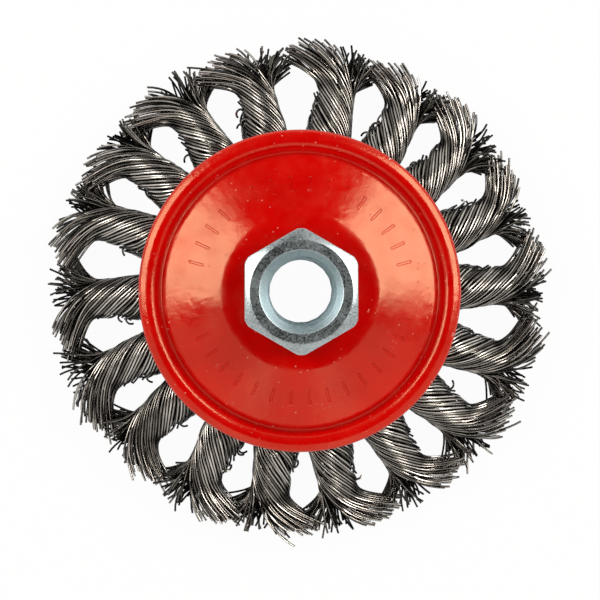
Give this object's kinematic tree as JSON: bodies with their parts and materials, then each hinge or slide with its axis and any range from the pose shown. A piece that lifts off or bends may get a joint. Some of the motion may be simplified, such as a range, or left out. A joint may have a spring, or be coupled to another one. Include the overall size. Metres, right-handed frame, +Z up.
{
  "type": "knotted wire wheel brush",
  "caption": "Dished wire wheel brush: twisted knots of steel wire hooked in a holder plate, clamped between a red outer cup and an inner cup, on a threaded hex hub for an angle grinder.",
  "frame": {"origin": "middle of the circle on which the lowest wire tips stand, at the foot of the bore's axis", "axes": "+Z up along the bore, from the wire tips to the nut's top face; +Y towards one corner of the hex nut"},
  "size_m": [0.1024, 0.1016, 0.0358],
  "materials": {
    "zinc_steel": "bluish zinc plating, dull, turned",
    "red_paint": "gloss red paint with dust, specks and small chips",
    "plate_steel": "plain pressed steel",
    "steel_wire": "drawn carbon steel wire, lightly oiled"
  },
  "bodies": {
    "root": {"arbor_nut": "zinc_steel", "outer_cup": "red_paint", "knot_holder_plate": "plate_steel", "inner_cup": "zinc_steel", "knot_01": "steel_wire", "knot_02": "steel_wire", "knot_03": "steel_wire", "knot_04": "steel_wire", "knot_05": "steel_wire", "knot_06": "steel_wire", "knot_07": "steel_wire", "knot_08": "steel_wire", "knot_09": "steel_wire", "knot_10": "steel_wire", "knot_11": "steel_wire", "knot_12": "steel_wire", "knot_13": "steel_wire", "knot_14": "steel_wire", "knot_15": "steel_wire", "knot_16": "steel_wire", "knot_17": "steel_wire", "knot_18": "steel_wire"}
  },
  "joints": []
}
